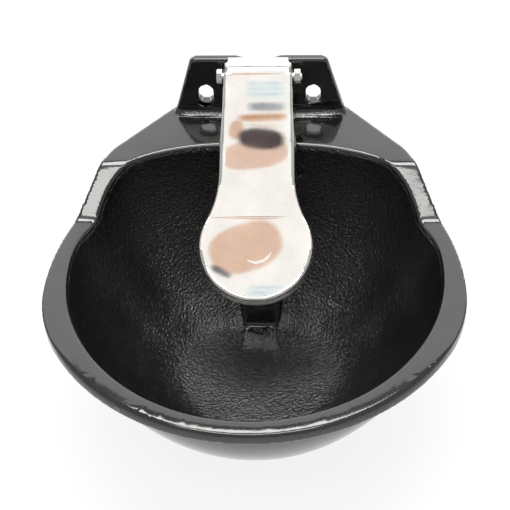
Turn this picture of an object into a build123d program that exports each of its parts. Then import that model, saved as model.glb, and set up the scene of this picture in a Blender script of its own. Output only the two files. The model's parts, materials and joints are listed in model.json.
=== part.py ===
"""Livestock drinking bowl: an enamelled casting for a wall or a 2 inch post, with a pressed tongue and its valve.

Frame: origin on the back face, midway between the two fixing slots. +Z is up, the wall is at +Y and the
basin reaches towards -Y. Lengths are millimetres. A "reach" is a distance forward of the back face.
"""

import os
from math import cos, radians, sin, sqrt, tan

from build123d import *

# Clearances
seat_gap = 0.3  # between moving pieces that rest against each other
running_gap = 0.1  # radial, a pin in its hole
thread_gap = 0.05  # radial, threads are drawn as plain cylinders

# Back plate
slot_spacing = 70.0  # M8 U-bolt round a 2 inch tube
slot_width = 9.5
slot_height = 14.0
ledge_below_slots = 15.5
plate_height = 42.6  # above the ledge
plate_top_width = 88.0
plate_foot_width = 112.0
plate_top_thickness = 4.4
plate_draft = 4.8  # degrees, front face
plate_corner = 4.0
skirt_depth = 46.0  # mounting pad below the ledge
skirt_thickness = 7.0
skirt_bottom_width = 84.0
tube_diameter = 60.3  # the post that the back face is hollowed for
tube_groove_depth = 3.2

# Rim, seen from above
ledge_back_width = 114.6
ledge_flare = 41.0  # degrees between the slanted edge and straight ahead
shoulder_reach = 42.0
shoulder_radius = 30.0
ramp_reach = 56.0
ramp_length = 29.0
ramp_drop = 24.0
ramp_round = 9.0
waist_width = 232.4  # at the foot of the ramps
rim_width = 257.0
widest_reach = 147.0
front_radius = 135.0
front_centre_reach = 122.7
rim_thickness = 8.4

# Basin
basin_back_reach = 38.2
basin_width = 230.0
basin_front_radius = 116.6  # along the middle
basin_centre_reach = 129.5
basin_back_points = ((61.0, 45.2), (91.0, 64.0), (104.7, 90.0))  # half width and reach of the back edge
basin_depth = 95.0  # below the front rim
basin_roundness = 1.5  # 2 is an ellipse, lower is more of a cone
floor_share = 0.4  # of the basin's width and length, where the floor is level
basin_steps = (0.0, 0.25, 0.48, 0.68, 0.83, 0.93, 0.985, 1.0)  # shares of the depth that get a section
wall = 5.5

# Riser column, inlet and stiffening ribs
valve_reach = 62.0
column_front_reach = 95.0  # at the floor
column_lean = 4.0  # degrees, front face
column_front_width = 20.5
toe_length = 17.0  # low wedge in front of the column
toe_height = 9.0
toe_width = 26.0
column_flare = 11.0  # degrees each side, widening to the back wall
column_top = -42.0
head_diameter = 30.0
riser_bore = 8.0
inlet_bore = 18.6  # tapping size of G1/2
inlet_thread_depth = 16.0
inlet_boss_diameter = 32.0
inlet_face = -146.0
rib_thickness = 7.0
rib_spacing = 66.0

# Hinge
pivot_reach = 13.0
pivot_height = 20.0
knuckle_width = 38.0
knuckle_radius = 6.0
bush_diameter = 7.6
bolt_diameter = 5.0
hex_across_flats = 8.0
bolt_head_thickness = 3.5
nut_thickness = 4.0
bolt_end = 1.0  # thread showing past the nut
bolt_standoff = 1.2  # from the tongue to the head and to the nut
hinge_washer_diameter = 12.0
hinge_washer_thickness = 1.0
side_play = 0.2  # at each face of the two hinge washers

# Tongue
sheet = 1.5
tongue_slope = 36.0  # degrees below level, upper part
disc_slope = 31.0
hood_height = 9.0  # top of the sheet above the pivot
hood_back_reach = 10.0
hood_bend_reach = 14.0
hood_bend_radius = 10.0
tab_width = 39.0
tab_reach = 4.8
neck_width = 49.0
disc_diameter = 70.0
tongue_length = 151.5
crease_from_end = 54.0
neck_blend = 60.0
side_flange = 8.0
ear_radius = 7.0

# Valve, on a vertical axis in the head of the column
body_hex = 24.0
hex_height = 7.0
neck_diameter = 15.0
valve_neck_height = 9.0
shank_diameter = 20.0  # M20 x 1.5
shank_length = 25.5
body_seal_thickness = 1.5
chamber_bore = 15.5
outlet_bore = 12.0
outlet_hole = 5.0
outlet_count = 4
neck_top_wall = 2.5
seat_hole = 8.0
seat_web = 2.5
seat_lip = 0.8
seat_lip_diameter = 10.5
stem_diameter = 5.0
stem_end_diameter = 4.0
stem_chamfer = 1.5
guide_diameter = 8.0
guide_flange_diameter = 10.5
guide_flange_thickness = 1.0
seal_diameter = 13.0
seal_thickness = 2.5
seal_plate_thickness = 1.2
stem_nut_across_flats = 7.0
stem_nut_thickness = 2.2
spring_wire = 0.9
spring_diameter = 10.4  # mean
spring_turns = 4.0
spring_cup_thickness = 3.5
spring_cup_hole = 7.0
strainer_diameter = 12.6
strainer_length = 22.0
strainer_wall = 1.0
strainer_flange_thickness = 1.2
strainer_slots = 8
strainer_slot_width = 1.4
strainer_bore = 14.0

# Flow screw, in the front of the column
flow_screw_height = -98.0
flow_screw_diameter = 8.0
flow_ring_wall = 3.6  # from the riser's bore to the seal ring's groove
flow_pin_diameter = 6.0
flow_pin_past = 1.4  # the pin's end past the middle of the riser
flow_blade_length = 7.0  # the flattened end of the pin, which throttles the riser as it turns
flow_blade_thickness = 1.8
flow_screw_recess = 1.0
flow_driver_slot = 1.2
flow_ring_section = 1.5

# Levels and places that follow
ledge = -ledge_below_slots
rim = ledge - ramp_drop
plate_top = ledge + plate_height
plate_foot_thickness = plate_top_thickness + plate_height * tan(radians(plate_draft))
ramp_end_reach = ramp_reach + ramp_length
floor = rim - basin_depth
far = 400.0  # longer than the whole bowl, for cuts that run out of it
tongue_width = knuckle_width + 2 * (hinge_washer_thickness + 2 * side_play + sheet)
os.makedirs("parts", exist_ok=True)


def write(block, name):
    block.part.label = name
    export_step(block.part, f"parts/{name}.step")
    print(name, len(block.part.solids()), "solid", round(block.part.volume), "mm3")


# ---------------------------------------------------------------- rim and basin forms
def side_points(drop=0.0):
    """The line of the rim's top from the wall forward, lowered by drop, as (y, z) points."""
    return [
        (0, ledge - drop),
        (-ramp_reach, ledge - drop),
        (-ramp_end_reach, rim - drop),
        (-far, rim - drop),
    ]


def basin_section(level, share, grow):
    """Sketch of the basin's outline at a share of its depth, grown outwards by the wall for the outside."""
    size = floor_share + (1 - floor_share) * (1 - share**basin_roundness) ** (1 / basin_roundness)
    half_width = basin_width / 2 * size + grow
    front = basin_front_radius * size + grow
    back = (basin_centre_reach - basin_back_reach) * size + grow
    across = half_width / (basin_width / 2)
    along = back / (basin_centre_reach - basin_back_reach)
    corners = [(x * across, -basin_centre_reach + (basin_centre_reach - y) * along) for x, y in basin_back_points]
    with BuildSketch(Plane.XY.offset(level)) as outline:
        with BuildLine():
            back_middle = (0, -basin_centre_reach + back)
            side = (half_width, -basin_centre_reach)
            Spline(back_middle, *corners, side, tangents=((1, 0), (0, -1)))
            EllipticalCenterArc((0, -basin_centre_reach), half_width, front, 270, arc_size=90)
            mirror(about=Plane.YZ)
        make_face()
    return outline.sketch


def basin_sections(top, depth, grow=0.0):
    """Upright from top down to the level of the front rim, then rounding in to the floor."""
    upright = [basin_section(top, 0.0, grow)]
    return upright + [basin_section(rim - share * depth, share, grow) for share in basin_steps]


with BuildPart() as rim_band:
    with BuildSketch(Plane.YZ) as band_side:
        with BuildLine():
            Polyline(*side_points(), *reversed(side_points(rim_thickness)), close=True)
        make_face()
        bends = [v for v in band_side.vertices() if -far < v.X < 0]
        fillet(bends, ramp_round)
    extrude(amount=far, both=True)
    gap = widest_reach - front_centre_reach
    side_radius = (front_radius**2 - (rim_width / 2) ** 2 - gap**2) / (2 * front_radius - rim_width)
    lean = (rim_width / 2 - side_radius) / (front_radius - side_radius)  # sine of the meeting angle
    meeting = (front_radius * lean, -front_centre_reach - front_radius * sqrt(1 - lean**2))
    shoulder = (ledge_back_width / 2 + shoulder_reach * tan(radians(ledge_flare)), -shoulder_reach)
    with BuildSketch(Plane.XY.offset(ledge - far / 2)) as rim_plan:
        with BuildLine():
            Polyline((0, 0), (ledge_back_width / 2, 0), shoulder, (waist_width / 2, -ramp_end_reach))
            TangentArc((rim_width / 2, -widest_reach), (waist_width / 2, -ramp_end_reach), tangent=(0, 1))
            TangentArc((rim_width / 2, -widest_reach), meeting, tangent=(0, -1))
            TangentArc((0, -front_centre_reach - front_radius), meeting, tangent=(1, 0))
            mirror(about=Plane.YZ)
        make_face()
        fillet([v for v in rim_plan.vertices() if abs(v.Y + shoulder_reach) < 1e-6], shoulder_radius)
    extrude(amount=far, mode=Mode.INTERSECT)

with BuildPart() as basin_outside:
    loft(basin_sections(ledge, basin_depth + wall, wall))

with BuildPart() as basin_inside:
    loft(basin_sections(1.0, basin_depth))


# ---------------------------------------------------------------- bowl casting
column_foot = floor - wall / 2
column_top_reach = column_front_reach - (column_top - column_foot) * tan(radians(column_lean))
column_back_reach = basin_back_reach - wall / 2
with BuildPart() as column:
    with BuildSketch(Plane.YZ):
        Polygon(
            (-column_back_reach, column_top),
            (-column_back_reach, column_foot),
            (-column_front_reach - toe_length, column_foot),
            (-column_front_reach - toe_length, floor),
            (-column_front_reach, floor + toe_height),
            (-column_top_reach, column_top),
            align=None,
        )
    extrude(amount=basin_width / 2, both=True)
    back_half = column_front_width / 2 + (column_front_reach - column_back_reach) * tan(radians(column_flare))
    with BuildSketch(Plane.XY.offset(column_foot)):
        Polygon(
            (-column_front_width / 2, -column_front_reach),
            (-toe_width / 2, -column_front_reach - toe_length),
            (toe_width / 2, -column_front_reach - toe_length),
            (column_front_width / 2, -column_front_reach),
            (back_half, -column_back_reach),
            (-back_half, -column_back_reach),
            align=None,
        )
    extrude(amount=far, mode=Mode.INTERSECT)
    with BuildSketch(Plane.XY.offset(column_top)):
        with Locations((0, -valve_reach)):
            Circle(head_diameter / 2)
    extrude(amount=column_foot - column_top)
    add(basin_outside.part, mode=Mode.INTERSECT)

strainer_step = column_top - (shank_length - body_seal_thickness) - strainer_flange_thickness
strainer_room = strainer_step - strainer_length - seat_gap
with BuildPart() as bowl_casting:
    add(basin_outside.part)
    add(rim_band.part)
    # back plate and mounting pad, in one slab trimmed to its front view
    with BuildSketch(Plane.YZ):
        Polygon(
            (0, plate_top),
            (-plate_top_thickness, plate_top),
            (-plate_foot_thickness, ledge),
            (-skirt_thickness, ledge),
            (-skirt_thickness, ledge - skirt_depth),
            (0, ledge - skirt_depth),
            align=None,
        )
    slab = extrude(amount=ledge_back_width, both=True, mode=Mode.PRIVATE)
    with BuildSketch(Plane.XZ.offset(-far / 2)) as front_view:
        with BuildLine():
            Polyline(
                (-plate_top_width / 2, plate_top),
                (plate_top_width / 2, plate_top),
                (plate_foot_width / 2, ledge),
                (skirt_bottom_width / 2, ledge - skirt_depth),
                (-skirt_bottom_width / 2, ledge - skirt_depth),
                (-plate_foot_width / 2, ledge),
                close=True,
            )
        make_face()
        fillet([v for v in front_view.vertices() if abs(v.Y - ledge) > 1e-6], plate_corner)
    outline = extrude(amount=far, mode=Mode.PRIVATE)
    add(slab & outline)
    # ribs from the pad to the basin, and the boss for the inlet
    with BuildSketch(Plane.YZ.offset(-rib_thickness / 2)):
        Polygon(
            (0, ledge - rim_thickness / 2),
            (-basin_centre_reach, ledge - rim_thickness / 2),
            (-basin_centre_reach, floor),
            (-skirt_thickness, ledge - skirt_depth + plate_corner),
            (0, ledge - skirt_depth + plate_corner),
            align=None,
        )
    rib = extrude(amount=rib_thickness, mode=Mode.PRIVATE)
    for side in (-1, 1):
        add(Pos(X=side * rib_spacing / 2) * rib)
    with BuildSketch(Plane.XY.offset(inlet_face)):
        with Locations((0, -valve_reach)):
            Circle(inlet_boss_diameter / 2)
    extrude(amount=column_top - inlet_face)
    add(basin_inside.part, mode=Mode.SUBTRACT)
    # everything above the rim, forward of the plate
    with BuildSketch(Plane.YZ) as above_rim:
        with BuildLine():
            top = [(-far, far), (-plate_foot_thickness, far), (-plate_foot_thickness, ledge)]
            Polyline(*top, *side_points()[1:], close=True)
        make_face()
        fillet([v for v in above_rim.vertices() if v.Y < 0 and -far < v.X < -ramp_reach + 1], ramp_round)
    extrude(amount=far, both=True, mode=Mode.SUBTRACT)
    add(column.part)
    # hinge knuckle on the front of the plate
    with BuildSketch(Plane.YZ):
        with Locations((-pivot_reach, pivot_height)):
            Circle(knuckle_radius)
        with Locations((-pivot_reach / 2, pivot_height)):
            Rectangle(pivot_reach, 2 * knuckle_radius)
    extrude(amount=knuckle_width / 2, both=True)
    with BuildSketch(Plane.YZ):
        with Locations((-pivot_reach, pivot_height)):
            Circle(bush_diameter / 2)
    extrude(amount=far, both=True, mode=Mode.SUBTRACT)
    # fixing slots, and the hollow for the post
    with BuildSketch(Plane.XZ):
        with GridLocations(slot_spacing, 0, 2, 1):
            SlotOverall(slot_height, slot_width, rotation=90)
    extrude(amount=pivot_reach, mode=Mode.SUBTRACT)
    with BuildSketch(Plane.XY.offset(ledge - far / 2)):
        with Locations((0, tube_diameter / 2 - tube_groove_depth)):
            Circle(tube_diameter / 2)
    extrude(amount=far, mode=Mode.SUBTRACT)
    # one bore from the inlet thread up to the valve thread
    bores = (
        (inlet_face, inlet_face + inlet_thread_depth, inlet_bore),
        (inlet_face, column_top, riser_bore),
        (strainer_room, column_top, strainer_bore),
        (strainer_step, column_top, shank_diameter + 2 * thread_gap),
    )
    for bottom, top, diameter in bores:
        with BuildSketch(Plane.XY.offset(bottom)):
            with Locations((0, -valve_reach)):
                Circle(diameter / 2)
        extrude(amount=top - bottom, mode=Mode.SUBTRACT)
    with BuildSketch(Plane.XZ.offset(valve_reach)):
        with Locations((0, flow_screw_height)):
            Circle(flow_screw_diameter / 2 + thread_gap)
    extrude(amount=column_front_reach - valve_reach + head_diameter, mode=Mode.SUBTRACT)
write(bowl_casting, "bowl_casting")


# ---------------------------------------------------------------- tongue
hood_top = pivot_height + hood_height
slope = radians(tongue_slope)
lower_slope = radians(disc_slope)
along = tongue_length - crease_from_end  # from the hood's bend to the crease
bend_point = (-hood_bend_reach, hood_top)
crease_point = (bend_point[0] - along * cos(slope), hood_top - along * sin(slope))
end_point = (
    crease_point[0] - crease_from_end * cos(lower_slope),
    crease_point[1] - crease_from_end * sin(lower_slope),
)
mean_slope = (slope + lower_slope) / 2
tongue_normal = (0, -sin(mean_slope), cos(mean_slope))  # out of the tongue's top
sheet_plane = Plane(origin=(0, *bend_point), x_dir=(1, 0, 0), z_dir=tongue_normal)


def sunk(point, depth):
    """A (y, z) point moved into the tongue, square to its mean slope."""
    return (point[0] + depth * sin(mean_slope), point[1] - depth * cos(mean_slope))


def tongue_side(depth, flange, overrun=0.0):
    """Side view of the tongue's band from a depth under its top down to the flange's edge."""
    back = (-hood_back_reach + overrun, hood_top)
    beyond = (end_point[0] - overrun * cos(lower_slope), end_point[1] - overrun * sin(lower_slope))
    upper = [sunk(p, depth) for p in (back, bend_point, crease_point, beyond)]
    lower = [sunk(p, flange) for p in (beyond, crease_point, bend_point)]
    with BuildSketch(Plane.YZ) as band:
        with BuildLine():
            Polyline(*upper, *lower, sunk(back, flange), close=True)
        make_face()
        bend = [v for v in band.vertices() if (Vector(*upper[1]) - Vector(v.X, v.Y)).length < 1e-6]
        fillet(bend, hood_bend_radius)
    return band.sketch


def tongue_plan(inset):
    """Outline of the tongue on its own slope: straight neck, blended into the round disc."""
    disc_centre = -(tongue_length - disc_diameter / 2)
    top_width = tongue_width - 2 * inset
    with BuildSketch(sheet_plane) as plan:
        with BuildLine():
            Polyline(
                (-top_width / 2, far / 10 if inset else hood_bend_reach),
                (top_width / 2, far / 10 if inset else hood_bend_reach),
                (top_width / 2, 0),
                (neck_width / 2 - inset, disc_centre),
                (-neck_width / 2 + inset, disc_centre),
                (-top_width / 2, 0),
                close=True,
            )
        make_face()
        with Locations((0, disc_centre)):
            Circle(disc_diameter / 2 - inset)
        notch = [v for v in plan.vertices() if disc_centre < v.Y < -1]
        fillet(notch, neck_blend + inset)
    return plan.sketch


with BuildPart() as tongue_core:
    extrude(tongue_side(sheet, far / 10, far / 10), amount=tongue_width, both=True)
    extrude(tongue_plan(sheet), amount=far, both=True, mode=Mode.INTERSECT)

with BuildPart() as tongue:
    extrude(tongue_side(0, side_flange), amount=tongue_width, both=True)
    with BuildSketch(Plane.YZ):
        with Locations((-pivot_reach, pivot_height)):
            Circle(ear_radius)
    extrude(amount=tongue_width, both=True)
    extrude(tongue_plan(0), amount=far, both=True, mode=Mode.INTERSECT)
    add(tongue_core.part, mode=Mode.SUBTRACT)
    # the tab that rests on top of the plate and stops the tongue
    tab_length = hood_bend_reach - tab_reach
    with BuildSketch(Plane.XY.offset(hood_top)):
        with Locations((0, -tab_reach - tab_length / 2)):
            Rectangle(tab_width, tab_length)
    extrude(amount=-sheet)
    with BuildSketch(Plane.YZ):
        with Locations((-pivot_reach, pivot_height)):
            Circle(bolt_diameter / 2 + running_gap)
    extrude(amount=far, both=True, mode=Mode.SUBTRACT)
write(tongue, "tongue")


# ---------------------------------------------------------------- hinge fasteners
def hexagon(plane, place, across_flats, thickness):
    """A hexagon head or nut built up from a plane, its outer corners turned off at 30 degrees."""
    with BuildPart() as prism:
        with BuildSketch(plane):
            with Locations(place):
                RegularPolygon(across_flats / 2, 6, major_radius=False)
        extrude(amount=thickness)
        with BuildSketch(plane):
            with Locations(place):
                Circle(across_flats / 2 + thickness / tan(radians(30)))
        extrude(amount=thickness, taper=60, mode=Mode.INTERSECT)
    return prism.part


clamp = tongue_width / 2 + bolt_standoff
pivot = (-pivot_reach, pivot_height)
head_plane = Plane(origin=(-clamp, 0, 0), x_dir=(0, 1, 0), z_dir=(-1, 0, 0))
head = hexagon(head_plane, (-pivot_reach, -pivot_height), hex_across_flats, bolt_head_thickness)
with BuildPart() as pivot_bolt:
    with BuildSketch(Plane.YZ.offset(-clamp)):
        with Locations(pivot):
            Circle(bolt_diameter / 2)
    extrude(amount=2 * clamp + nut_thickness + bolt_end)
    chamfer(pivot_bolt.faces().sort_by(Axis.X)[-1].edges(), bolt_end / 2)
    add(head)
write(pivot_bolt, "pivot_bolt")

with BuildPart() as pivot_nut:
    add(hexagon(Plane.YZ.offset(clamp), pivot, hex_across_flats, nut_thickness))
    with BuildSketch(Plane.YZ.offset(clamp)):
        with Locations(pivot):
            Circle(bolt_diameter / 2 + thread_gap)
    extrude(amount=nut_thickness, mode=Mode.SUBTRACT)
write(pivot_nut, "pivot_nut")

with BuildPart() as pivot_bush:
    with BuildSketch(Plane.YZ):
        with Locations((-pivot_reach, pivot_height)):
            Circle(bush_diameter / 2 - thread_gap)
            Circle(bolt_diameter / 2 + running_gap, mode=Mode.SUBTRACT)
    extrude(amount=knuckle_width / 2, both=True)
write(pivot_bush, "pivot_bush")

with BuildPart() as hinge_washers:
    for side in (-1, 1):
        middle = side * (knuckle_width / 2 + side_play + hinge_washer_thickness / 2)
        with BuildSketch(Plane.YZ.offset(middle)):
            with Locations((-pivot_reach, pivot_height)):
                Circle(hinge_washer_diameter / 2)
                Circle(bolt_diameter / 2 + running_gap, mode=Mode.SUBTRACT)
        extrude(amount=hinge_washer_thickness / 2, both=True)
write(hinge_washers, "hinge_washers")


# ---------------------------------------------------------------- valve
def valve_disc(name, *steps):
    """A piece turned on the valve's axis: each step is (bottom, top, outer diameter, bore)."""
    with BuildPart() as piece:
        for bottom, top, outer, _ in steps:
            with BuildSketch(Plane.XY.offset(bottom)):
                with Locations((0, -valve_reach)):
                    Circle(outer / 2)
            extrude(amount=top - bottom)
        for bottom, top, _, bore in steps:
            if bore:
                with BuildSketch(Plane.XY.offset(bottom)):
                    with Locations((0, -valve_reach)):
                        Circle(bore / 2)
                extrude(amount=top - bottom, mode=Mode.SUBTRACT)
    write(piece, name)


hex_seat = column_top + body_seal_thickness
hex_top = hex_seat + hex_height
neck_top = hex_top + valve_neck_height
shank_end = hex_seat - shank_length
seat_top = hex_seat - seat_web
seat_bottom = seat_top - seat_web
lip = seat_bottom - seat_lip
valve_place = (0, -valve_reach)
with BuildPart() as valve_body:
    add(hexagon(Plane.XY.offset(hex_seat), valve_place, body_hex, hex_height))
    with BuildSketch(Plane.XY.offset(shank_end)):
        with Locations((0, -valve_reach)):
            Circle(shank_diameter / 2)
    extrude(amount=shank_length)
    with BuildSketch(Plane.XY.offset(hex_top)):
        with Locations((0, -valve_reach)):
            Circle(neck_diameter / 2)
    extrude(amount=valve_neck_height)
    chamfer(valve_body.faces().sort_by(Axis.Z)[-1].edges(), 1.0)
    hollows = (
        (shank_end, seat_bottom, chamber_bore),
        (seat_bottom, seat_top, seat_hole),
        (seat_top, neck_top - neck_top_wall, outlet_bore),
        (neck_top - neck_top_wall, neck_top, guide_diameter + 2 * thread_gap),
    )
    for bottom, top, diameter in hollows:
        with BuildSketch(Plane.XY.offset(bottom)):
            with Locations((0, -valve_reach)):
                Circle(diameter / 2)
        extrude(amount=top - bottom, mode=Mode.SUBTRACT)
    with BuildSketch(Plane.XY.offset(lip)):
        with Locations((0, -valve_reach)):
            Circle(seat_lip_diameter / 2)
            Circle(seat_hole / 2, mode=Mode.SUBTRACT)
    extrude(amount=seat_lip)
    outlets = Plane(origin=(0, -valve_reach, (hex_top + neck_top - neck_top_wall) / 2))
    with BuildSketch(Plane(origin=outlets.origin, x_dir=(1, 0, 0), z_dir=(0, 1, 0))) as outlet:
        Circle(outlet_hole / 2)
    drill = extrude(outlet.sketch, amount=neck_diameter, mode=Mode.PRIVATE)
    for number in range(outlet_count):
        turn = Axis(outlets.origin, (0, 0, 1))
        add(drill.rotate(turn, number * 360 / outlet_count), mode=Mode.SUBTRACT)
write(valve_body, "valve_body")

valve_disc("body_seal", (column_top, hex_seat, head_diameter - 3, shank_diameter + 2 * running_gap))
valve_disc(
    "stem_guide",
    (neck_top - neck_top_wall, neck_top, guide_diameter, stem_diameter + 2 * running_gap),
    (neck_top, neck_top + guide_flange_thickness, guide_flange_diameter, stem_diameter + 2 * running_gap),
)

# the stem stands just under the tongue
under_tongue = hood_top - (valve_reach - hood_bend_reach) * tan(slope) - sheet / cos(slope)
tip_flat = stem_diameter / 2 - stem_chamfer
stem_tip = under_tongue - (tip_flat * sin(slope) + seat_gap) / cos(slope)
seal_top = lip
seal_bottom = seal_top - seal_thickness
plate_bottom = seal_bottom - seal_plate_thickness
nut_bottom = plate_bottom - stem_nut_thickness
with BuildPart() as valve_stem:
    with BuildSketch(Plane.XY.offset(nut_bottom - bolt_end)):
        with Locations((0, -valve_reach)):
            Circle(stem_end_diameter / 2)
    extrude(amount=stem_tip - nut_bottom)
    with BuildSketch(Plane.XY.offset(seal_top)):
        with Locations((0, -valve_reach)):
            Circle(stem_diameter / 2)
    extrude(amount=stem_tip - seal_top)
    chamfer(valve_stem.faces().sort_by(Axis.Z)[-1].edges(), stem_chamfer)
write(valve_stem, "valve_stem")

valve_disc("valve_seal", (seal_bottom, seal_top, seal_diameter, stem_end_diameter + 2 * thread_gap))
valve_disc("seal_plate", (plate_bottom, seal_bottom, seal_diameter, stem_end_diameter + 2 * thread_gap))
nut_plane = Plane(origin=(0, 0, plate_bottom), x_dir=(1, 0, 0), z_dir=(0, 0, -1))
with BuildPart() as stem_nut:
    add(hexagon(nut_plane, (0, valve_reach), stem_nut_across_flats, stem_nut_thickness))
    with BuildSketch(nut_plane):
        with Locations((0, valve_reach)):
            Circle(stem_end_diameter / 2 + thread_gap)
    extrude(amount=stem_nut_thickness, mode=Mode.SUBTRACT)
write(stem_nut, "stem_nut")

cup_top = shank_end + spring_cup_thickness
valve_disc("spring_cup", (shank_end, cup_top, chamber_bore - 2 * thread_gap, spring_cup_hole))
coil_bottom = cup_top + spring_wire / 2
coil_height = plate_bottom - spring_wire / 2 - coil_bottom
with BuildPart() as valve_spring:
    with BuildLine():
        coil = Helix(coil_height / spring_turns, coil_height, spring_diameter / 2, center=(0, -valve_reach, coil_bottom))
    with BuildSketch(Plane(origin=coil @ 0, z_dir=coil % 0)):
        RegularPolygon(spring_wire / 2, 6)
    sweep(is_frenet=True)
write(valve_spring, "valve_spring")

tube_bottom = strainer_step - strainer_length
with BuildPart() as inlet_strainer:
    with BuildSketch(Plane.XY.offset(strainer_step)):
        with Locations((0, -valve_reach)):
            Circle(shank_diameter / 2 - running_gap)
    extrude(amount=strainer_flange_thickness)
    with BuildSketch(Plane.XY.offset(tube_bottom)):
        with Locations((0, -valve_reach)):
            Circle(strainer_diameter / 2)
    extrude(amount=strainer_length)
    with BuildSketch(Plane.XY.offset(tube_bottom + strainer_wall)):
        with Locations((0, -valve_reach)):
            Circle(strainer_diameter / 2 - strainer_wall)
    extrude(amount=far, mode=Mode.SUBTRACT)
    with BuildSketch(Plane.XY.offset(tube_bottom + 2 * strainer_wall)):
        with Locations((0, -valve_reach)):
            with PolarLocations(strainer_diameter / 2, strainer_slots):
                Rectangle(4 * strainer_wall, strainer_slot_width)
    extrude(amount=strainer_length - 4 * strainer_wall, mode=Mode.SUBTRACT)
write(inlet_strainer, "inlet_strainer")


# ---------------------------------------------------------------- flow screw
column_face = column_front_reach - (flow_screw_height - column_foot) * tan(radians(column_lean))
screw_face = column_face - flow_screw_recess
ring_reach = valve_reach + riser_bore / 2 + flow_ring_wall
flow_pin_length = ring_reach - valve_reach + flow_pin_past
with BuildPart() as flow_screw:
    with BuildSketch(Plane.XZ.offset(ring_reach)):
        with Locations((0, flow_screw_height)):
            Circle(flow_screw_diameter / 2)
    extrude(amount=screw_face - ring_reach)
    with BuildSketch(Plane.XZ.offset(screw_face)):
        with Locations((0, flow_screw_height)):
            Rectangle(flow_driver_slot, flow_screw_diameter)
    extrude(amount=-flow_driver_slot, mode=Mode.SUBTRACT)
    with BuildSketch(Plane.XZ.offset(ring_reach)):
        with Locations((0, flow_screw_height)):
            Circle(flow_pin_diameter / 2)
    extrude(amount=-flow_pin_length)
    with BuildSketch(Plane.XZ.offset(ring_reach - flow_pin_length)):
        with Locations((0, flow_screw_height)):
            Rectangle(flow_pin_diameter, flow_pin_diameter)
            Rectangle(flow_blade_thickness, flow_pin_diameter, mode=Mode.SUBTRACT)
    extrude(amount=flow_blade_length, mode=Mode.SUBTRACT)
write(flow_screw, "flow_screw")

with BuildPart() as flow_screw_ring:
    with BuildSketch(Plane.XZ.offset(ring_reach - flow_ring_section)):
        with Locations((0, flow_screw_height)):
            Circle(flow_screw_diameter / 2 - running_gap)
            Circle(flow_pin_diameter / 2 + thread_gap, mode=Mode.SUBTRACT)
    extrude(amount=flow_ring_section)
write(flow_screw_ring, "flow_screw_ring")
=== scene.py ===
import json
import math

import bmesh
import bpy
from mathutils import Matrix, Vector
from mathutils.kdtree import KDTree

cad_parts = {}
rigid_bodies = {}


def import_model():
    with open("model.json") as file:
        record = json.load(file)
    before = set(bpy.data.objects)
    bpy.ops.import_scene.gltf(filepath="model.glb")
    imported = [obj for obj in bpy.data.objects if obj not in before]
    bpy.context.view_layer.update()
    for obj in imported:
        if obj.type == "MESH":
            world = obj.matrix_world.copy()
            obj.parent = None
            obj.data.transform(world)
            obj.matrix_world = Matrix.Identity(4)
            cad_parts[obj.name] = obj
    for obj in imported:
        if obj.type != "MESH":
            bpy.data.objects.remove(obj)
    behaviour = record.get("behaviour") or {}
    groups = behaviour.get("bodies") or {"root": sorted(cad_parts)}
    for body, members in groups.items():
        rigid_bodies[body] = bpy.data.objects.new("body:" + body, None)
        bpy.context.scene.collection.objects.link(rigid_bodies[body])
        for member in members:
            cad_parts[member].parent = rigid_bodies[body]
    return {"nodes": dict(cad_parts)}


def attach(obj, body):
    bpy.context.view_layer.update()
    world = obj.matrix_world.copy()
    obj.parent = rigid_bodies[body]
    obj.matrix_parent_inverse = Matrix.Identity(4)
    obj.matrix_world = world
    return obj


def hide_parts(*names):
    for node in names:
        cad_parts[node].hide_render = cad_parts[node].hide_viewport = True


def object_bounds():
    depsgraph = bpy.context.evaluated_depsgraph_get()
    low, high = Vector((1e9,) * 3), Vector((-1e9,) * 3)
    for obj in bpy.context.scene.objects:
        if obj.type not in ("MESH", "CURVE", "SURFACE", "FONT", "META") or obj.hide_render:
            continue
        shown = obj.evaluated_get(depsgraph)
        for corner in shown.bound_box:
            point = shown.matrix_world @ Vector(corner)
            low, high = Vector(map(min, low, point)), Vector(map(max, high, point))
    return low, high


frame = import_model()
cadLow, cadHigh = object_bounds()
nodes = frame["nodes"]
print("frame loaded")

tiny = 1e-6  # metres: places nearer than this are one
smoothFactor = 0.5


# Helpers for node trees and meshes
def deselectAll():
    if bpy.context.object and bpy.context.object.mode != "OBJECT":
        bpy.ops.object.mode_set(mode="OBJECT")
    bpy.ops.object.select_all(action="DESELECT")


def takeUp(piece):  # the only selected and the active object
    deselectAll()
    piece.select_set(True)
    bpy.context.view_layer.objects.active = piece


def addNode(tree, kind, inputs=None, **settings):
    node = tree.nodes.new(kind)
    for name, value in settings.items():
        setattr(node, name, value)
    for name, value in (inputs or {}).items():
        if isinstance(value, bpy.types.NodeSocket):
            tree.links.new(value, node.inputs[name])
        else:
            node.inputs[name].default_value = value
    return node


def addMath(tree, operation, *values, **settings):
    return addNode(tree, "ShaderNodeMath", dict(enumerate(values)), operation=operation, **settings).outputs[0]


def addNoise(tree, place, scale, detail):
    return addNode(tree, "ShaderNodeTexNoise", {"Vector": place, "Scale": scale, "Detail": detail}).outputs["Fac"]


def newGroup(name, inputs, outputs):
    tree = bpy.data.node_groups.new(name, "ShaderNodeTree")
    for label, value in inputs.items():
        kind = "NodeSocketColor" if isinstance(value, tuple) else "NodeSocketFloat"
        socket = tree.interface.new_socket(name=label, in_out="INPUT", socket_type=kind)
        socket.default_value = value
    for label, kind in outputs.items():
        tree.interface.new_socket(name=label, in_out="OUTPUT", socket_type=kind)
    return tree, addNode(tree, "NodeGroupInput"), addNode(tree, "NodeGroupOutput")


def placeGroup(tree, group, **values):
    node = addNode(tree, "ShaderNodeGroup", node_tree=group)
    for name, value in values.items():
        node.inputs[name].default_value = value
    return node


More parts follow.
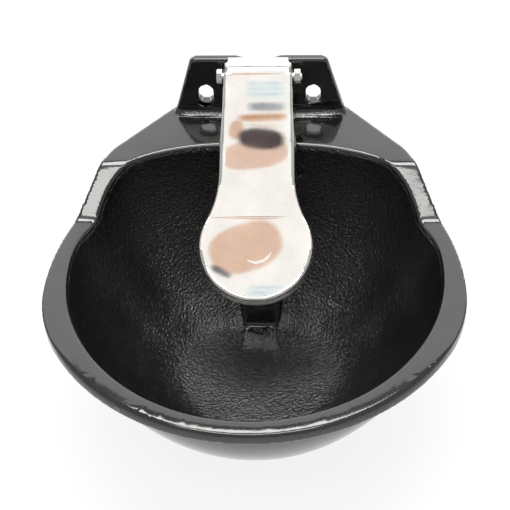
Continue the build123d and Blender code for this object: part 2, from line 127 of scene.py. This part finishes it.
# Effects that several finishes share
def makeMottle():  # soft cloudy variation between two colours, with finer speckle over it
    tree, given, out = newGroup(
        "mottle",
        {"Dark": (0, 0, 0, 1), "Light": (1, 1, 1, 1), "Cloud Size": 40.0, "Speckle Size": 900.0, "Speckle": 0.3},
        {"Color": "NodeSocketColor", "Mask": "NodeSocketFloat"},
    )
    place = addNode(tree, "ShaderNodeTexCoord").outputs["Object"]
    cloud = addNoise(tree, place, given.outputs["Cloud Size"], 4.0)
    speckle = addNoise(tree, place, given.outputs["Speckle Size"], 2.0)
    blend = addNode(tree, "ShaderNodeMix", {0: given.outputs["Speckle"], 2: cloud, 3: speckle})
    spread = addNode(tree, "ShaderNodeMapRange", {"Value": blend.outputs[0], "From Min": 0.35, "From Max": 0.65})
    colour = addNode(
        tree, "ShaderNodeMix",
        {0: spread.outputs[0], 6: given.outputs["Dark"], 7: given.outputs["Light"]}, data_type="RGBA",
    )
    tree.links.new(colour.outputs[2], out.inputs["Color"])
    tree.links.new(spread.outputs[0], out.inputs["Mask"])
    return tree


def makeRelief():  # height of a skin: broad waves, orange peel and fine grit
    tree, given, out = newGroup(
        "relief",
        {"Wave Size": 30.0, "Wave": 0.5, "Peel Size": 400.0, "Peel": 0.3, "Grit Size": 2500.0, "Grit": 0.1},
        {"Height": "NodeSocketFloat"},
    )
    place = addNode(tree, "ShaderNodeTexCoord").outputs["Object"]
    total = None
    for label in ("Wave", "Peel", "Grit"):
        noise = addNoise(tree, place, given.outputs[label + " Size"], 2.0)
        part = addMath(tree, "MULTIPLY", noise, given.outputs[label])
        total = part if total is None else addMath(tree, "ADD", part, total)
    tree.links.new(total, out.inputs["Height"])
    return tree


def makeWearAndHighlight():  # mask of rubbed places and painted highlight: convex edges, broken up by noise
    tree, given, out = newGroup(
        "wearAndHighlightGroup",
        {"Edge From": 0.52, "Edge To": 0.60, "Break Size": 120.0, "Break": 0.5},
        {"Mask": "NodeSocketFloat"},
    )
    edge = addNode(tree, "ShaderNodeNewGeometry").outputs["Pointiness"]
    place = addNode(tree, "ShaderNodeTexCoord").outputs["Object"]
    sharp = addNode(
        tree, "ShaderNodeMapRange",
        {"Value": edge, "From Min": given.outputs["Edge From"], "From Max": given.outputs["Edge To"]},
    )
    noise = addNoise(tree, place, given.outputs["Break Size"], 5.0)
    broken = addNode(
        tree, "ShaderNodeMapRange", {"Value": noise, "From Min": given.outputs["Break"], "From Max": 0.75})
    mask = addMath(tree, "MULTIPLY", sharp.outputs[0], broken.outputs[0])
    tree.links.new(mask, out.inputs["Mask"])
    return tree


def makeGrain():  # streaks of rolled or brushed metal along one axis of the piece
    tree, given, out = newGroup(
        "grain",
        {"Length": 12.0, "Width": 900.0, "Across": 900.0},
        {"Height": "NodeSocketFloat"},
    )
    place = addNode(tree, "ShaderNodeTexCoord").outputs["Object"]
    scale = addNode(tree, "ShaderNodeCombineXYZ", {
        0: given.outputs["Width"], 1: given.outputs["Length"], 2: given.outputs["Across"]})
    stretched = addNode(tree, "ShaderNodeVectorMath", {0: place, 1: scale.outputs[0]}, operation="MULTIPLY")
    tree.links.new(addNoise(tree, stretched.outputs[0], 1.0, 3.0), out.inputs["Height"])
    return tree


mottle, relief, wearAndHighlightGroup, grain = makeMottle(), makeRelief(), makeWearAndHighlight(), makeGrain()


def newFinish(name):
    material = bpy.data.materials.new(name)
    material.use_nodes = True
    tree = material.node_tree
    return material, tree, tree.nodes["Principled BSDF"]


def spreadOf(tree, socket, low, high):  # a 0 to 1 mask as a value between low and high
    return addNode(tree, "ShaderNodeMapRange", {"Value": socket, "To Min": low, "To Max": high}).outputs[0]


def roughen(tree, shader, height, strength, distance):
    bump = addNode(tree, "ShaderNodeBump", {"Height": height, "Strength": strength, "Distance": distance})
    tree.links.new(bump.outputs[0], shader.inputs["Normal"])


enamel = {
    "dark": (0.0048, 0.0054, 0.0048, 1), "light": (0.0105, 0.0116, 0.0102, 1), "cloudSize": 35.0, "speckle": 0.35,
    "rough": (0.06, 0.15), "roughInside": (0.10, 0.19), "specular": 0.8,
    "waveSize": 28.0, "wave": 0.5, "peelSize": 680.0, "peel": 0.5, "gritSize": 2600.0, "grit": 0.05,
    "relief": 1.0, "reliefDepth": 0.0019, "smoothShare": 0.035,  # of the relief that the rim and plate keep
    # the pale edge colour below is partly enamel wear and partly a painted highlight along convex edges
    "wearAndHighlightColor": (0.55, 0.54, 0.52, 1), "wearAndHighlightRough": 0.4, "wearAndHighlightFrom": 0.57, "wearAndHighlightTo": 0.68,
}


def makeEnamel():
    material, tree, shader = newFinish("enamelledCasting")
    tone = placeGroup(tree, mottle, **{
        "Dark": enamel["dark"], "Light": enamel["light"],
        "Cloud Size": enamel["cloudSize"], "Speckle": enamel["speckle"]})
    # convex edges get a pale colour: partly enamel wear, partly a painted highlight along the edges
    wearAndHighlightMask = placeGroup(tree, wearAndHighlightGroup, **{"Edge From": enamel["wearAndHighlightFrom"], "Edge To": enamel["wearAndHighlightTo"]})
    wearAndHighlightTint = addNode(
        tree, "ShaderNodeMix",
        {0: wearAndHighlightMask.outputs["Mask"], 6: tone.outputs["Color"], 7: enamel["wearAndHighlightColor"]}, data_type="RGBA",
    )
    tree.links.new(wearAndHighlightTint.outputs[2], shader.inputs["Base Color"])
    inside = addNode(tree, "ShaderNodeAttribute", attribute_name="basinInside")
    outer = spreadOf(tree, tone.outputs["Mask"], *enamel["rough"])
    inner = spreadOf(tree, tone.outputs["Mask"], *enamel["roughInside"])
    gloss = addNode(tree, "ShaderNodeMix", {0: inside.outputs["Fac"], 2: outer, 3: inner})
    rough = addNode(tree, "ShaderNodeMix", {0: wearAndHighlightMask.outputs["Mask"], 2: gloss.outputs[0], 3: enamel["wearAndHighlightRough"]})
    tree.links.new(rough.outputs[0], shader.inputs["Roughness"])
    shader.inputs["Specular IOR Level"].default_value = enamel["specular"]
    skin = placeGroup(tree, relief, **{
        "Wave Size": enamel["waveSize"], "Wave": enamel["wave"],
        "Peel Size": enamel["peelSize"], "Peel": enamel["peel"],
        "Grit Size": enamel["gritSize"], "Grit": enamel["grit"]})
    share = spreadOf(tree, inside.outputs["Fac"], enamel["smoothShare"], 1.0)
    height = addMath(tree, "MULTIPLY", skin.outputs["Height"], share)
    roughen(tree, shader, height, enamel["relief"], enamel["reliefDepth"])
    return material


metalSkin = {"cloudSize": 60.0, "speckle": 0.25, "reliefDepth": 0.0002}
metals = {
    "pressedStainless": {
        "dark": (0.66, 0.645, 0.62, 1), "light": (0.76, 0.745, 0.72, 1), "rough": (0.012, 0.03), "grain": 0.004,
    },
    "stainlessFastener": {
        "dark": (0.52, 0.51, 0.50, 1), "light": (0.72, 0.71, 0.69, 1), "rough": (0.16, 0.34), "grain": 0.08,
    },
    "stainlessStem": {
        "dark": (0.55, 0.54, 0.53, 1), "light": (0.70, 0.69, 0.68, 1), "rough": (0.10, 0.22), "grain": 0.05,
    },
    "springWire": {
        "dark": (0.38, 0.37, 0.36, 1), "light": (0.56, 0.55, 0.53, 1), "rough": (0.22, 0.36), "grain": 0.05,
    },
    "valveBrass": {
        "dark": (0.46, 0.31, 0.10, 1), "light": (0.68, 0.50, 0.20, 1), "rough": (0.20, 0.40), "grain": 0.08,
    },
}


def makeMetal(name):
    values = metals[name]
    material, tree, shader = newFinish(name)
    tone = placeGroup(tree, mottle, **{
        "Dark": values["dark"], "Light": values["light"],
        "Cloud Size": metalSkin["cloudSize"], "Speckle": metalSkin["speckle"]})
    tree.links.new(tone.outputs["Color"], shader.inputs["Base Color"])
    tree.links.new(spreadOf(tree, tone.outputs["Mask"], *values["rough"]), shader.inputs["Roughness"])
    shader.inputs["Metallic"].default_value = 1.0
    streaks = placeGroup(tree, grain)
    roughen(tree, shader, streaks.outputs["Height"], values["grain"], metalSkin["reliefDepth"])
    return material


plasticSkin = {
    "cloudSize": 90.0, "speckle": 0.4, "wave": 0.2, "peelSize": 900.0, "grit": 0.2,
    "relief": 0.3, "reliefDepth": 0.0002,
}
plastics = {
    "whiteNylon": {
        "dark": (0.66, 0.65, 0.61, 1), "light": (0.78, 0.77, 0.73, 1), "rough": (0.35, 0.5), "peel": 0.2,
    },
    "strainerPlastic": {
        "dark": (0.10, 0.22, 0.42, 1), "light": (0.14, 0.29, 0.52, 1), "rough": (0.35, 0.5), "peel": 0.2,
    },
    "blackRubber": {
        "dark": (0.012, 0.012, 0.012, 1), "light": (0.028, 0.027, 0.026, 1), "rough": (0.6, 0.8), "peel": 0.4,
    },
}


def makePlastic(name):
    values = plastics[name]
    material, tree, shader = newFinish(name)
    tone = placeGroup(tree, mottle, **{
        "Dark": values["dark"], "Light": values["light"],
        "Cloud Size": plasticSkin["cloudSize"], "Speckle": plasticSkin["speckle"]})
    tree.links.new(tone.outputs["Color"], shader.inputs["Base Color"])
    tree.links.new(spreadOf(tree, tone.outputs["Mask"], *values["rough"]), shader.inputs["Roughness"])
    skin = placeGroup(tree, relief, **{
        "Wave": plasticSkin["wave"], "Peel Size": plasticSkin["peelSize"], "Peel": values["peel"],
        "Grit": plasticSkin["grit"]})
    roughen(tree, shader, skin.outputs["Height"], plasticSkin["relief"], plasticSkin["reliefDepth"])
    return material


finishes = {"enamelledCasting": makeEnamel()}
finishes.update({name: makeMetal(name) for name in metals})
finishes.update({name: makePlastic(name) for name in plastics})
finishOfSlot = {
    "enamelled_casting": "enamelledCasting", "pressed_stainless": "pressedStainless",
    "stainless_fastener": "stainlessFastener", "stainless_stem": "stainlessStem", "spring_wire": "springWire",
    "valve_brass": "valveBrass", "white_nylon": "whiteNylon", "strainer_plastic": "strainerPlastic",
    "black_rubber": "blackRubber",
}
slotOfNode = {
    "bowl_casting": "enamelled_casting", "tongue": "pressed_stainless", "pivot_bolt": "stainless_fastener",
    "pivot_nut": "stainless_fastener", "hinge_washers": "stainless_fastener", "pivot_bush": "white_nylon",
    "valve_body": "valve_brass", "body_seal": "black_rubber", "stem_guide": "white_nylon",
    "valve_stem": "stainless_stem", "valve_seal": "black_rubber", "seal_plate": "stainless_stem",
    "stem_nut": "stainless_fastener", "spring_cup": "white_nylon", "valve_spring": "spring_wire",
    "inlet_strainer": "strainer_plastic", "flow_screw": "valve_brass", "flow_screw_ring": "black_rubber",
}
for name, node in nodes.items():
    node.data.materials.clear()
    node.data.materials.append(finishes[finishOfSlot[slotOfNode[name]]])
print("finishes made")


# Pieces that stand for the two formed solids
def skinOf(nodeName, pieceName, body, voxel, smoothing, triangles):
    mesh = nodes[nodeName].data.copy()
    piece = bpy.data.objects.new(pieceName, mesh)
    bpy.context.scene.collection.objects.link(piece)
    takeUp(piece)
    bpy.ops.object.mode_set(mode="EDIT")
    bpy.ops.mesh.select_all(action="SELECT")
    bpy.ops.mesh.remove_doubles(threshold=tiny)
    bpy.ops.object.mode_set(mode="OBJECT")
    skin = piece.modifiers.new("skin", "REMESH")
    skin.mode, skin.voxel_size = "VOXEL", voxel
    bpy.ops.object.modifier_apply(modifier="skin")
    soft = piece.modifiers.new("soft", "SMOOTH")
    soft.factor, soft.iterations = smoothFactor, smoothing
    bpy.ops.object.modifier_apply(modifier="soft")
    count = 2 * len(piece.data.polygons)
    if count > triangles:
        fewer = piece.modifiers.new("fewer", "DECIMATE")
        fewer.ratio = triangles / count
        bpy.ops.object.modifier_apply(modifier="fewer")
    bpy.ops.object.shade_smooth()
    print(pieceName, "faces", len(piece.data.polygons), "before", count)
    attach(piece, body)
    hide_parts(nodeName)
    return piece


casting = {"voxel": 0.0010, "smoothing": 3, "triangles": 190000}
tongueSkin = {"voxel": 0.0005, "smoothing": 12, "triangles": 150000}
castBowl = skinOf("bowl_casting", "castBowl", "bowl", **casting)
pressedTongue = skinOf("tongue", "pressedTongue", "tongue", **tongueSkin)

# The casting's softer places, in metres. A value that ends in Up is a normal's z, which is 1 on a level face.
castForm = {
    "centre": (0.0, -0.1295), "rimTop": -0.0395, "floor": -0.1345, "basinBack": -0.03,
    # the floor's run up into the wall, which leaves out the column
    "floorWidth": 0.046, "floorFront": 0.0466, "floorBack": 0.0365, "floorBlend": 0.020, "floorSlope": 0.24,
    "floorDepth": 0.004, "floorUp": 0.7, "runFrom": 0.5, "runTo": 1.7, "runBelow": 0.002, "runTop": -0.1,
    "runUp": 0.3, "columnHalf": 0.022, "columnFront": -0.109, "floorSmoothing": 120,
    # the rim's front edge
    "frontArc": (0.0, -0.1227, 0.135), "frontSpread": 1.15, "frontFade": 0.3, "frontRadius": 0.004,
    "frontSlack": 0.001,
    # the front edge of the plate's top
    "plateTop": 0.0271, "plateTopDepth": 0.0044, "plateDraft": 0.084, "plateChamfer": 0.0007,
    "chamferFrom": 0.02, "chamferReach": 0.004, "diagonal": 0.7071,
    # the basin's edge: the solid's sharp edges between a top face and a wall that looks into the basin
    "edgeRadius": 0.0027, "edgeReach": 2.5, "edgeBand": 0.0034, "edgeStep": 0.0004, "edgeAngle": 0.4,
    "topUp": 0.7, "wallUp": 0.6, "inward": 0.2,
    # the corner between the plate and the ledge
    "corner": ((-0.056, 0.056), (-0.0135, -0.006), (-0.0165, -0.010)), "cornerSmoothing": 45,
    # the mask of the basin's inside
    "maskDepth": 0.003, "maskWallUp": 0.4, "maskUp": 0.2, "maskMiddle": 0.075, "maskCorner": 0.3,
}


def smoothPlaces(piece, chosen, wider, repeat):
    takeUp(piece)
    bpy.ops.object.mode_set(mode="EDIT")
    bpy.ops.mesh.select_all(action="DESELECT")
    bpy.ops.object.mode_set(mode="OBJECT")
    for vertex in piece.data.vertices:
        vertex.select = chosen(vertex)
    bpy.ops.object.mode_set(mode="EDIT")
    for _ in range(wider):
        bpy.ops.mesh.select_more()
    bpy.ops.mesh.vertices_smooth(factor=smoothFactor, repeat=repeat)
    bpy.ops.mesh.select_all(action="DESELECT")
    bpy.ops.object.mode_set(mode="OBJECT")


def sharpEdge(nodeName, wanted, angle, step):  # places along the solid's sharp edges, with both normals
    solid = bmesh.new()
    solid.from_mesh(nodes[nodeName].data)
    bmesh.ops.remove_doubles(solid, verts=solid.verts, dist=tiny)
    places = []
    for edge in solid.edges:
        if len(edge.link_faces) == 2 and edge.calc_face_angle(0.0) > angle and wanted(*edge.link_faces):
            start, end = (vertex.co for vertex in edge.verts)
            count = max(1, math.ceil((end - start).length / step))
            normals = [face.normal.copy() for face in edge.link_faces]
            places += [(start.lerp(end, number / count), *normals) for number in range(count + 1)]
    solid.free()
    tree = KDTree(len(places))
    for number, place in enumerate(places):
        tree.insert(place[0], number)
    tree.balance()
    return tree, places


def roundEdge(piece, tree, places, radius, reach):  # the sharp edge gets an even radius
    for vertex in piece.data.vertices:
        number, away = tree.find(vertex.co)[1:]
        if away > reach * radius:
            continue
        edge, first, second = places[number]
        centre = edge - radius * (first + second) / (1 + first.dot(second))
        along = first.cross(second).normalized()
        out = vertex.co - centre
        lengthwise = along * out.dot(along)
        out -= lengthwise
        overFirst = (second - first * first.dot(second)).dot(out) > 0
        overSecond = (first - second * first.dot(second)).dot(out) > 0
        if overFirst and overSecond:
            vertex.co = centre + lengthwise + out.normalized() * radius


def shapeCasting(piece):
    form, mesh = castForm, piece.data
    centreX, centreY = form["centre"]
    arcX, arcY, arcRadius = form["frontArc"]

    def floorShare(x, y):  # 1 where the level floor ends
        reach = form["floorFront"] if y < centreY else form["floorBack"]
        return math.hypot((x - centreX) / form["floorWidth"], (y - centreY) / reach)

    def toCentre(x, y):
        return Vector((centreX - x, centreY - y, 0)).normalized()

    for vertex in mesh.vertices:
        x, y, z = vertex.co
        # the level floor runs up into the wall
        beyond = (floorShare(x, y) - 1.0) * form["floorWidth"]
        blend = form["floorBlend"]
        inner = abs(z - form["floor"]) < form["floorDepth"]
        if inner and vertex.normal.z > form["floorUp"] and abs(beyond) < blend:
            lift = form["floorSlope"] * ((beyond + blend) ** 2 / (4 * blend) - max(0.0, beyond))
            vertex.co.z += lift
        # the rim's front edge gets a radius that fades out towards the sides
        out = arcRadius - math.hypot(x - arcX, y - arcY)
        drop = form["rimTop"] - z
        turn = abs(math.atan2(x - arcX, arcY - y))
        fade = min(1.0, (form["frontSpread"] - turn) / form["frontFade"])
        radius, slack = form["frontRadius"] * fade, form["frontSlack"]
        if fade > 0 and -slack < out < radius and -slack < drop < radius:
            side, up = radius - out, radius - drop
            share = radius / max(math.hypot(side, up), tiny)
            inward = Vector((arcX - x, arcY - y, 0)).normalized()
            vertex.co += inward * side * (1 - share) + Vector((0, 0, up * (share - 1)))
        # the front edge of the plate's top gets a narrow chamfer
        front = y + form["plateTopDepth"] + (form["plateTop"] - z) * form["plateDraft"]
        below = form["plateTop"] - z
        if z > form["chamferFrom"] and front < form["chamferReach"] and below < form["chamferReach"]:
            short = form["plateChamfer"] - form["diagonal"] * (front + below)
            if short > 0:
                vertex.co += Vector((0, form["diagonal"] * short, -form["diagonal"] * short))

    def overBasin(first, second):  # a top face and a wall that looks into the basin
        top, wall = (first, second) if first.normal.z > second.normal.z else (second, first)
        middle = wall.calc_center_median()
        looksIn = toCentre(middle.x, middle.y).dot(wall.normal) > form["inward"]
        steep = top.normal.z > form["topUp"] and wall.normal.z < form["wallUp"]
        return steep and looksIn and middle.y < form["basinBack"]

    basinEdge, edgePlaces = sharpEdge("bowl_casting", overBasin, form["edgeAngle"], form["edgeStep"])
    print("basin edge places", len(edgePlaces))

    def inCorner(vertex):
        return all(low < value < high for value, (low, high) in zip(vertex.co, form["corner"]))

    def aroundFloor(vertex):
        x, y, z = vertex.co
        column = abs(x) < form["columnHalf"] and y > form["columnFront"]
        run = form["runFrom"] < floorShare(x, y) < form["runTo"]
        height = form["floor"] - form["runBelow"] < z < form["runTop"]
        return run and height and vertex.normal.z > form["runUp"] and not column

    smoothPlaces(piece, aroundFloor, 0, form["floorSmoothing"])
    roundEdge(piece, basinEdge, edgePlaces, form["edgeRadius"], form["edgeReach"])
    smoothPlaces(piece, inCorner, 0, form["cornerSmoothing"])
    mask = mesh.attributes.new("basinInside", "FLOAT", "POINT")
    for vertex in mesh.vertices:
        x, y, z = vertex.co
        away = math.hypot(x - centreX, y - centreY)
        low = z < form["rimTop"] - form["maskDepth"]
        wall = toCentre(x, y).dot(vertex.normal) > form["inward"] and vertex.normal.z < form["maskWallUp"]
        bottom = low and (vertex.normal.z > form["maskUp"] or away < form["maskMiddle"])
        inside = y < form["basinBack"] and (wall or bottom)
        edge = basinEdge.find(vertex.co)[2] < form["edgeBand"]
        corner = form["maskCorner"] if inCorner(vertex) else 0.0
        mask.data[vertex.index].value = 1.0 if inside and not edge else corner


# The tongue's side flange, and its edges and bend that are smoothed; depth is measured down from the sheet's top
tongueForm = {
    "hood": (-0.014, 0.029), "slope": 33.5, "flareFrom": 0.002, "flange": 0.008, "flare": 0.0015,
    "start": 0.02, "full": 0.045, "discCentre": 0.1165, "flareSide": 0.01,
    "edgeDepth": (-0.001, 0.0035), "edgeFacing": (0.2, 0.95), "edgeWider": 3, "edgeSmoothing": 40,
    "bendLength": 0.005, "bendDepth": 0.003, "bendSmoothing": 60,
}


def shapeTongue(piece):
    form = tongueForm
    angle = math.radians(form["slope"])
    down = Vector((0, -math.cos(angle), -math.sin(angle)))
    normal = Vector((0, -math.sin(angle), math.cos(angle)))
    hood = Vector((0, *form["hood"]))
    for vertex in piece.data.vertices:  # the pressed flange leans out a little
        place = vertex.co - hood
        along, depth = place.dot(down), -place.dot(normal)
        if along < form["start"] or depth < form["flareFrom"]:
            continue
        share = min(1.0, (depth - form["flareFrom"]) / (form["flange"] - form["flareFrom"]))
        rise = min(1.0, (along - form["start"]) / (form["full"] - form["start"]))
        side = Vector((place.x, 0, 0)) + down * max(0.0, along - form["discCentre"])
        if side.length > form["flareSide"]:
            vertex.co += side.normalized() * form["flare"] * rise * share

    def atEdge(vertex):
        depth, facing = (hood - vertex.co).dot(normal), vertex.normal.dot(normal)
        (shallow, deep), (least, most) = form["edgeDepth"], form["edgeFacing"]
        return shallow < depth < deep and least < facing < most

    def atBend(vertex):
        place = vertex.co - hood
        return abs(place.dot(down)) < form["bendLength"] and abs(place.dot(normal)) < form["bendDepth"]

    smoothPlaces(piece, atEdge, form["edgeWider"], form["edgeSmoothing"])
    smoothPlaces(piece, atBend, 0, form["bendSmoothing"])


shapeCasting(castBowl)
shapeTongue(pressedTongue)
print("casting and tongue made")


# Floor, light and camera
studio = {
    "floorSize": 8.0, "floorColor": (0.86, 0.86, 0.86, 1), "floorRough": 0.9, "glow": 0.86,
    "seen": 1.0, "mirrored": 0.55, "soft": 0.45,  # strengths of the world, by kind of ray
}
lamps = {
    "keyLight": {
        "turn": -5, "height": 59, "away": 1.3, "size": (1.1, 0.17),
        "radiance": 9.0, "color": (1, 0.985, 0.96),
    },
    "topLight": {
        "turn": 180, "height": 86, "away": 1.3, "size": (1.1, 0.5),
        "radiance": 11.0, "color": (1, 0.99, 0.97),
    },
    "lowLight": {
        "turn": 180, "height": 12, "away": 1.6, "size": (2.8, 0.5),
        "radiance": 3.5, "color": (1, 1, 1),
    },
    "backLight": {
        "turn": 180, "height": 44, "away": 1.6, "size": (2.8, 1.1),
        "radiance": 1.45, "color": (1, 1, 1),
    },
}
# The ceiling that the steel mirrors. Each field lies a little below the one before it, and is
# (x, y, half width, half length, turn, squareness, colour, strength, edge).
ceiling = {
    "height": 3.0, "spacing": 0.002,
    "fields": (
        (0.0, -1.15, 1.6, 0.62, 0, 4, (1.0, 0.985, 0.96, 1), 1.32, 0.9),
        (-0.131, -1.145, 0.060, 0.030, 0, 5, (0.86, 0.95, 0.96, 1), 1.3, 0.75),
        (-0.131, -1.124, 0.056, 0.0035, 0, 4, (0.70, 0.81, 0.88, 1), 1.2, 0.5),
        (-0.131, -1.139, 0.056, 0.0035, 0, 4, (0.70, 0.81, 0.88, 1), 1.2, 0.5),
        (-0.131, -1.154, 0.056, 0.0035, 0, 4, (0.70, 0.81, 0.88, 1), 1.2, 0.5),
        (-0.131, -1.190, 0.060, 0.015, 0, 4, (0.50, 0.54, 0.59, 1), 1.0, 0.6),
        (-0.142, -1.221, 0.076, 0.013, 2, 4, (0.92, 0.55, 0.35, 1), 1.05, 0.7),
        (-0.140, -1.218, 0.070, 0.0028, 2, 3, (0.42, 0.25, 0.20, 1), 0.9, 0.5),
        (-0.165, -1.330, 0.100, 0.046, 9, 2.6, (1.0, 0.73, 0.60, 1), 1.05, 0.88),
        (-0.215, -1.255, 0.022, 0.032, -15, 2.4, (1.0, 0.70, 0.54, 1), 1.0, 0.75),
        (-0.146, -1.281, 0.073, 0.036, -4, 2.4, (0.15, 0.115, 0.12, 1), 0.9, 0.75),
        (-0.135, -1.241, 0.066, 0.0045, -3, 2.4, (0.95, 0.84, 0.70, 1), 1.1, 0.5),
        (-0.184, -1.006, 0.108, 0.070, 20, 2.6, (1.0, 0.71, 0.56, 1), 1.05, 0.88),
        (-0.252, -1.074, 0.036, 0.012, -26, 2.4, (0.25, 0.24, 0.28, 1), 0.9, 0.6),
    ),
}
aim = Vector((0, -0.12, -0.03))


def towards(turn, height):  # unit vector: turn 0 is the front, height above level, in degrees
    a, e = math.radians(turn), math.radians(height)
    return Vector((math.sin(a) * math.cos(e), -math.cos(a) * math.cos(e), math.sin(e)))


def anyRay(tree, path, first, *others):  # 1 for a ray of one of these kinds
    total = path.outputs[first]
    for kind in others:
        total = addMath(tree, "ADD", total, path.outputs[kind], use_clamp=True)
    return total


def makeFloor():
    deselectAll()
    bpy.ops.mesh.primitive_plane_add(size=studio["floorSize"], location=(0, 0, cadLow.z))
    floor = bpy.context.object
    floor.name = "studioFloor"
    material, tree, shader = newFinish("studioFloor")
    shader.inputs["Base Color"].default_value = studio["floorColor"]
    shader.inputs["Roughness"].default_value = studio["floorRough"]
    path = addNode(tree, "ShaderNodeLightPath")
    seen = anyRay(tree, path, "Is Camera Ray", "Is Glossy Ray", "Is Transmission Ray")
    glow = addNode(tree, "ShaderNodeEmission", {"Color": (1, 1, 1, 1), "Strength": 1.0})
    share = addMath(tree, "MULTIPLY", seen, studio["glow"])
    mixed = addNode(tree, "ShaderNodeMixShader", {0: share, 1: shader.outputs[0], 2: glow.outputs[0]})
    tree.links.new(mixed.outputs[0], tree.nodes["Material Output"].inputs["Surface"])
    floor.data.materials.append(material)


def makeWorld():
    world = bpy.data.worlds.new("studio")
    world.use_nodes = True
    bpy.context.scene.world = world
    tree = world.node_tree
    background = tree.nodes["Background"]
    path = addNode(tree, "ShaderNodeLightPath")
    mirrored = anyRay(tree, path, "Is Glossy Ray", "Is Transmission Ray")
    level = addNode(tree, "ShaderNodeMix", {0: mirrored, 2: studio["soft"], 3: studio["mirrored"]})
    level = addNode(
        tree, "ShaderNodeMix", {0: path.outputs["Is Camera Ray"], 2: level.outputs[0], 3: studio["seen"]})
    background.inputs["Color"].default_value = (1, 1, 1, 1)
    tree.links.new(level.outputs[0], background.inputs["Strength"])


def makeLamp(name, turn, height, away, size, radiance, color):
    place = aim + towards(turn, height) * away
    bpy.ops.object.light_add(type="AREA", location=place)
    lamp = bpy.context.object
    lamp.name = name
    lamp.rotation_euler = (place - aim).to_track_quat("Z", "Y").to_euler()
    lamp.data.shape, lamp.data.size, lamp.data.size_y = "RECTANGLE", *size
    lamp.data.energy = radiance * math.pi * size[0] * size[1]
    lamp.data.color = color
    lamp.visible_camera = False


def makeField(number, x, y, halfWidth, halfLength, turn, squareness, color, strength, edge):
    bpy.ops.mesh.primitive_plane_add(
        size=2, location=(x, y, ceiling["height"] - ceiling["spacing"] * number),
        rotation=(0, 0, math.radians(turn)),
    )
    field = bpy.context.object
    field.name = f"ceilingField{number}"
    field.scale = (halfWidth, halfLength, 1)
    material = bpy.data.materials.new(field.name)
    material.use_nodes = True
    tree = material.node_tree
    tree.nodes.remove(tree.nodes["Principled BSDF"])
    place = addNode(tree, "ShaderNodeTexCoord").outputs["Object"]
    parts = addNode(tree, "ShaderNodeSeparateXYZ", {0: place})
    powers = []
    for label in ("X", "Y"):
        powers.append(addMath(tree, "POWER", addMath(tree, "ABSOLUTE", parts.outputs[label]), squareness))
    away = addMath(tree, "POWER", addMath(tree, "ADD", *powers), 1 / squareness)
    fade = addNode(tree, "ShaderNodeMapRange", {
        "Value": away, "From Min": 1.0, "From Max": edge, "To Min": 0.0, "To Max": 1.0})
    glow = addNode(tree, "ShaderNodeEmission", {"Color": color, "Strength": strength})
    clear = addNode(tree, "ShaderNodeBsdfTransparent")
    mixed = addNode(tree, "ShaderNodeMixShader", {0: fade.outputs[0], 1: clear.outputs[0], 2: glow.outputs[0]})
    tree.links.new(mixed.outputs[0], tree.nodes["Material Output"].inputs["Surface"])
    field.data.materials.append(material)
    field.visible_camera = field.visible_diffuse = field.visible_shadow = False


lens = {
    "turn": 4.087, "height": 45.0, "roll": -2.722, "away": 0.919906, "aim": Vector((0, -0.125, -0.035)),
    "length": 105.882, "sensor": 36.0, "shift": (0.00095, 0.0113), "clip": (0.01, 50),
}


def makeCamera():
    bpy.ops.object.camera_add()
    camera = bpy.context.object
    camera.name = "camera"
    back = towards(lens["turn"], lens["height"])
    turn = math.radians(lens["turn"])
    level = Vector((math.cos(turn), math.sin(turn), 0))
    up = level.cross(-back)
    roll = math.radians(lens["roll"])
    right = level * math.cos(roll) + up * math.sin(roll)
    top = up * math.cos(roll) - level * math.sin(roll)
    turned = Matrix((right, top, back)).transposed().to_4x4()
    camera.matrix_world = Matrix.Translation(lens["aim"] + back * lens["away"]) @ turned
    camera.data.lens, camera.data.sensor_width = lens["length"], lens["sensor"]
    camera.data.shift_x, camera.data.shift_y = lens["shift"]
    camera.data.clip_start, camera.data.clip_end = lens["clip"]
    bpy.context.scene.camera = camera


makeFloor()
makeWorld()
for name, values in lamps.items():
    makeLamp(name, **values)
for number, values in enumerate(ceiling["fields"]):
    makeField(number, *values)
makeCamera()
bpy.context.scene.view_settings.view_transform = "Standard"
print("studio made")
